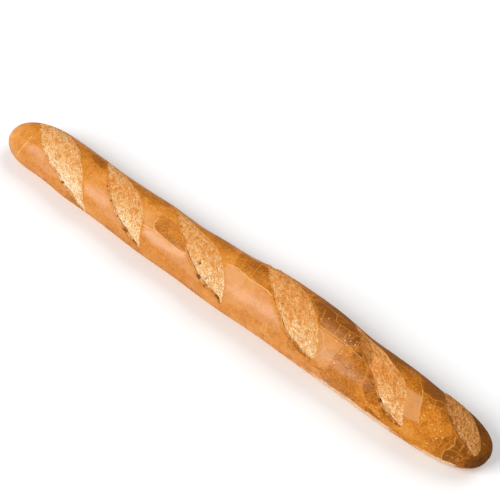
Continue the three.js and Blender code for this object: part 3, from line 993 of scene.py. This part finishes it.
twist_inputs = {0: noise(CRACKLE_TWIST_SIZE, output="Color"), 1: (CRACKLE_TWIST,) * 3, 2: on_loaf}
crackle_place = Shade.node(tree, "ShaderNodeVectorMath", dict(operation="MULTIPLY_ADD"), twist_inputs)
cell_tone = cell_number(CRACKLE_CELLS, crackle_place) - 0.5
cell_border = cells(CRACKLE_CELLS, crackle_place, "DISTANCE_TO_EDGE")
crackled = noise(CRACKLE_STRETCH) * STRETCH_WEIGHT + baked * BAKE_WEIGHT + blistered * BLISTER_WEIGHT
crackled = crackled.eased(*CRACKLED_ABOVE) * (1.0 - field("floury"))
hairlines = 1.0 - (cell_border + waver * HAIRLINE_WAVER).eased(0.0, HAIRLINE_WIDTH)
hairlines = hairlines * crackled * HAIRLINE_STRENGTH

# Drawn lines, in millimetres: they waver, are full over a share of their half width, and stop at a distance.
LINE_WAVER = 1.4
LINE_FULL_SHARE = 0.4
LINE_STOPS = (2.0, 3.0)
CRACK_HALF_WIDTH = 0.7
RIM_HALF_WIDTH = 0.6


def drawn(name, half_width):
    """Lines held as a distance and a signed distance, drawn with a given half width."""
    off_line = abs(field(name + "_side") + waver * LINE_WAVER)
    across = 1.0 - off_line.eased(half_width * LINE_FULL_SHARE, half_width)
    return across * (1.0 - field(name + "_near").eased(*LINE_STOPS))


cracks = drawn("crack", CRACK_HALF_WIDTH).greater(hairlines)
rims = drawn("rim", RIM_HALF_WIDTH)

# How brown the crust is: its bake, mottled, with darker plates, held back where it would turn black, and
# burnt at the dark end.
BROAD_MOTTLE = 0.26
SMALL_MOTTLE = 0.24
FINE_MOTTLE = 0.62
CELL_MOTTLE = 0.2
DARK_CRUST = (0.7, 0.88)
DARKER_PLATE = 0.15
PLATE_LEFT_OUT = 0.08
HELD_BACK_ABOVE = 0.78
HELD_BACK_SHARE = 0.6
BURNT = 0.88
BURNT_CELLS = 0.07
BURNT_FINE = 0.3
BURNT_MOTTLE = 0.2

browned = baked + wander(size=0.022, detail=4.0) * BROAD_MOTTLE
browned = browned + wander(size=0.006, detail=3.0) * SMALL_MOTTLE + fine * FINE_MOTTLE
browned = browned + cell_tone * crackled * CELL_MOTTLE
browned = browned + dark_plate_mask * (DARKER_PLATE - baked.eased(*DARK_CRUST) * PLATE_LEFT_OUT)
browned = browned - (browned - HELD_BACK_ABOVE).greater(0.0) * HELD_BACK_SHARE
burnt = BURNT + cell_tone * BURNT_CELLS + fine * BURNT_FINE
burnt = burnt + wander(size=0.012, detail=3.0) * BURNT_MOTTLE
browned = browned.greater(dark_end_mask * burnt)
crust_colour = ramp(CRUST_COLOURS, browned)

# A pinkish sheen is painted into the crust colour in patches, with streaks along the loaf, and the same
# streaks run through the painted sheen of the pale plates. Cracks are drawn over both, and rims with a painted
# highlight.
# Cracks show less in dark crust, and rims in blistered crust.
STREAKS = (130.0, 800.0, 800.0)
SHEEN_STREAKS = 0.72
SHEEN_LEFT_OUT = 0.2
PALE_BLOTCHES = 0.3
PALE_STREAKS = 0.36
PALE_FINE = 0.7
PALER_DARK_END = 0.16
PALER_FROM = (170.0, 200.0)
CRACK_STRENGTH = 0.55
CRACK_FADES = 0.35
CRACK_DARK = (0.8, 0.9)
CRACK_LEFT_OUT = 0.8
RIM_STRENGTH = 0.85
RIM_LEFT_OUT = 0.4

streak_inputs = {0: on_loaf, 1: STREAKS}
streak_place = Shade.node(tree, "ShaderNodeVectorMath", dict(operation="MULTIPLY"), streak_inputs)
streaks = noise(1.0, at=streak_place)
rubbed = sheen_mask * (streaks * SHEEN_STREAKS - blistered * SHEEN_LEFT_OUT)
crust_colour = crust_colour.toward(SHEEN_CRUST_COLOUR, rubbed)
paleness_and_sheen = noise(size=0.010, detail=3.0) * PALE_BLOTCHES + streaks * PALE_STREAKS + fine * PALE_FINE
paleness_and_sheen = paleness_and_sheen + field("along").eased(*PALER_FROM) * PALER_DARK_END
crust_colour = crust_colour.toward(PALE_SHEEN_CRUST, pale_sheen_mask * paleness_and_sheen)
crack_shows = cracks * (1.0 - dark_end_mask * CRACK_LEFT_OUT)
crack_shows = crack_shows * (CRACK_STRENGTH - baked.eased(*CRACK_DARK) * CRACK_FADES)
crust_colour = crust_colour.toward(CRACK_COLOUR, crack_shows)
crust_colour = crust_colour.toward(RIM_HIGHLIGHT_AND_SPECK_COLOUR, rims * (RIM_STRENGTH - blistered * RIM_LEFT_OUT))

# Blisters: a pale speck here and there, in groups, where a bubble under the skin burst. They are strewn over
# the unrolled skin, with so many cells to a millimetre, and few of the cells have one that shows.
SPECK_CELLS = 0.2
SPECK_FRAYS = 0.3
SPECK_EDGE = (0.05, 0.2)
SPECK_SHOWS = (0.84, 0.86)
SPECK_GROUP = 0.03
SPECKS_GROUPED = (0.44, 0.52)
SPECK_STRENGTH = 0.1
MORE_SPECKS = 0.75

skin_inputs = {0: field("along") * SPECK_CELLS, 1: field("round") * SPECK_CELLS}
on_skin = Shade.node(tree, "ShaderNodeCombineXYZ", None, skin_inputs)
speck_reach = cells(1.0, on_skin, dimensions="2D") + waver * SPECK_FRAYS + fine * SPECK_FRAYS
specks = 1.0 - speck_reach.eased(*SPECK_EDGE)
specks = specks * cell_number(1.0, on_skin, dimensions="2D").eased(*SPECK_SHOWS)
specks = specks * noise(SPECK_GROUP).eased(*SPECKS_GROUPED)
crust_colour = crust_colour.toward(RIM_HIGHLIGHT_AND_SPECK_COLOUR, specks * (SPECK_STRENGTH + blistered * MORE_SPECKS))

# Flour lies over all of that in blotches, and hardly at the dark end.
EVEN_FLOUR = 0.35
FLOUR_BLOTCHES = 0.9
FLOUR_LEFT_OUT = 0.85
flour = floury_mask * (EVEN_FLOUR + noise(size=0.004, detail=3.0) * FLOUR_BLOTCHES)
crust_colour = crust_colour.toward(FLOUR_COLOUR, flour * (1.0 - dark_end_mask * FLOUR_LEFT_OUT))

# Torn dough: its colour goes by how high it stands, which paints light on the tips and shade in the hollows
# over its own tone, and takes in the painted light and shade of its near and far sides, with a grain and
# strands that are too fine for the mesh.
GRAIN_CELLS = 820.0
PULLS = (1.8, 2.4)
MIDDLE_PILE = 0.61
MIDDLE_HEIGHT = 0.58
PILE_CONTRAST = 0.58
GRAINS_LOWER = 0.5
FINEST_HEIGHT = 1.2
PULLED_HEIGHT = 1.1

grains = cells(GRAIN_CELLS)
pull_inputs = {0: field("pull_along") * PULLS[0], 1: field("pull_across") * PULLS[1]}
pulled = noise(1.0, 3.0, at=Shade.node(tree, "ShaderNodeCombineXYZ", None, pull_inputs)) - 0.5
torn_height = (field("pile") - MIDDLE_PILE) * PILE_CONTRAST + MIDDLE_HEIGHT
torn_height = torn_height - grains * GRAINS_LOWER + finest * FINEST_HEIGHT + pulled * PULLED_HEIGHT
torn_colour = ramp(TORN_LIT_AND_SHADED_COLOURS, torn_height).toward(ramp(TORN_GREY_AND_SHADE_COLOURS, torn_height), field("torn_grey"))
skin_colour = crust_colour.toward(torn_colour, torn_mask)

# Painted shade: the split darkens below a depth in millimetres, to a browner crust with shade painted in, and
# a pit darkens with painted shade from its rim and again in its middle, each given as (how steeply, what is
# taken off).
SPLIT_DARK_FROM = 0.9
SPLIT_DARKENS = 0.7
SPLIT_STRENGTH = 0.85
PIT_RIM = (1.3, 0.3)
PIT_MIDDLE = (1.5, 0.5)
PIT_STRENGTH = 0.6

pit_rim = field("pitted") * PIT_RIM[0] - PIT_RIM[1]
opened = ((field("split") - SPLIT_DARK_FROM) * SPLIT_DARKENS).greater(pit_rim)
pit_middle = field("pitted") * PIT_MIDDLE[0] - PIT_MIDDLE[1]
skin_colour = skin_colour.toward(SPLIT_BROWN_AND_SHADE_COLOUR, opened.eased(0.0, 1.0) * SPLIT_STRENGTH)
skin_colour = skin_colour.toward(PIT_SHADE_COLOUR, pit_middle.eased(0.0, 1.0) * PIT_STRENGTH)

# The bumps that are too fine for the mesh, with heights in metres.
FINE_BUMPS = 0.00016
TORN_BUMPS = 2.0
GRAIN_BUMPS = 0.00028
BROAD_BUMPS = 0.0004
PULLED_BUMPS = 0.0003
LINE_BUMPS = 0.0002
BUMP_STRENGTH = 0.8

bumps = fine * FINE_BUMPS * (1.0 + torn_mask * TORN_BUMPS) - grains * torn_mask * GRAIN_BUMPS
bumps = bumps + wander(size=0.003, detail=3.0) * BROAD_BUMPS + pulled * torn_mask * PULLED_BUMPS
bumps = bumps - (cracks - rims) * LINE_BUMPS * (1.0 - torn_mask) + specks * LINE_BUMPS
bump_inputs = {"Height": bumps, "Distance": 1.0, "Strength": BUMP_STRENGTH}
bumped = Shade.node(tree, "ShaderNodeBump", None, bump_inputs)

# The crust shines softly and the torn dough is dull. The shine stops short of the cuts, and is blotchy.
CRUST_ROUGHNESS = 0.58
TORN_ROUGHER = 0.34
DARK_END_ROUGHER = 0.22
ROUGHNESS_WANDERS = 0.12
SHINE_STOPS = (-3.0, -1.0)
SHINE_EVERYWHERE = 0.25
SHINE_BLOTCHES = 0.8
SHINE_ROUGHNESS = 0.34
SPECULAR_LEVEL = 0.04

roughness = CRUST_ROUGHNESS + torn_mask * TORN_ROUGHER + dark_end_mask * DARK_END_ROUGHER
roughness = roughness + wander(size=0.006) * ROUGHNESS_WANDERS
coat = field("shine") * (1.0 - field("torn").eased(*SHINE_STOPS))
coat = coat * (noise(size=0.02, detail=3.0) * SHINE_BLOTCHES + SHINE_EVERYWHERE)
tree.links.new(skin_colour.socket, shader.inputs["Base Color"])
tree.links.new(roughness.socket, shader.inputs["Roughness"])
tree.links.new(bumped.socket, shader.inputs["Normal"])
tree.links.new(coat.socket, shader.inputs["Coat Weight"])
shader.inputs["Coat Roughness"].default_value = SHINE_ROUGHNESS
shader.inputs["Specular IOR Level"].default_value = SPECULAR_LEVEL

mesh.materials.append(crust)
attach(loaf, "root")
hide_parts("loaf")


# --------------------------------------------------------------------------------------------------
# The set: a plain pale floor, soft light from a large source on the near left, half as much from one behind,
# and a pale room all round.
FLOOR_SIZE = 8.0
FLOOR_DROP = 0.0003
FLOOR_COLOUR = (0.9, 0.9, 0.9, 1.0)
FLOOR_ROUGHNESS = 0.9
KEY_LIGHT = dict(place=(-2.34, -3.9, 4.38), size=3.6, watts=305.0)
FILL_LIGHT = dict(place=(1.2, 3.4, 4.6), size=3.6, watts=150.0)
ROOM_COLOUR = (1.0, 1.0, 1.0, 1.0)
ROOM_STRENGTH = 0.4

floor_mesh = bpy.data.meshes.new("floor")
half = FLOOR_SIZE / 2
floor_corners = [(-half, -half), (half, -half), (half, half), (-half, half)]
floor_mesh.from_pydata([(*corner, -FLOOR_DROP) for corner in floor_corners], [], [(0, 1, 2, 3)])
floor = bpy.data.objects.new("floor", floor_mesh)
floor_finish = bpy.data.materials.new("floor")
floor_finish.use_nodes = True
floor_shader = floor_finish.node_tree.nodes["Principled BSDF"]
floor_shader.inputs["Base Color"].default_value = FLOOR_COLOUR
floor_shader.inputs["Roughness"].default_value = FLOOR_ROUGHNESS
floor_mesh.materials.append(floor_finish)
bpy.context.scene.collection.objects.link(floor)


def soft_light(name, place, size, watts):
    """A square area light at a place, aimed at the point under the middle of the loaf."""
    light = bpy.data.objects.new(name, bpy.data.lights.new(name, "AREA"))
    light.data.size = size
    light.data.energy = watts
    light.location = place
    aside = math.hypot(place[0], place[1])
    light.rotation_euler = (math.atan2(aside, place[2]), 0.0, math.atan2(place[1], place[0]) + math.pi / 2)
    bpy.context.scene.collection.objects.link(light)


soft_light("key", **KEY_LIGHT)
soft_light("fill", **FILL_LIGHT)

world = bpy.data.worlds.new("room")
world.use_nodes = True
world.node_tree.nodes["Background"].inputs["Color"].default_value = ROOM_COLOUR
world.node_tree.nodes["Background"].inputs["Strength"].default_value = ROOM_STRENGTH
bpy.context.scene.world = world
bpy.context.scene.view_settings.view_transform = "Standard"
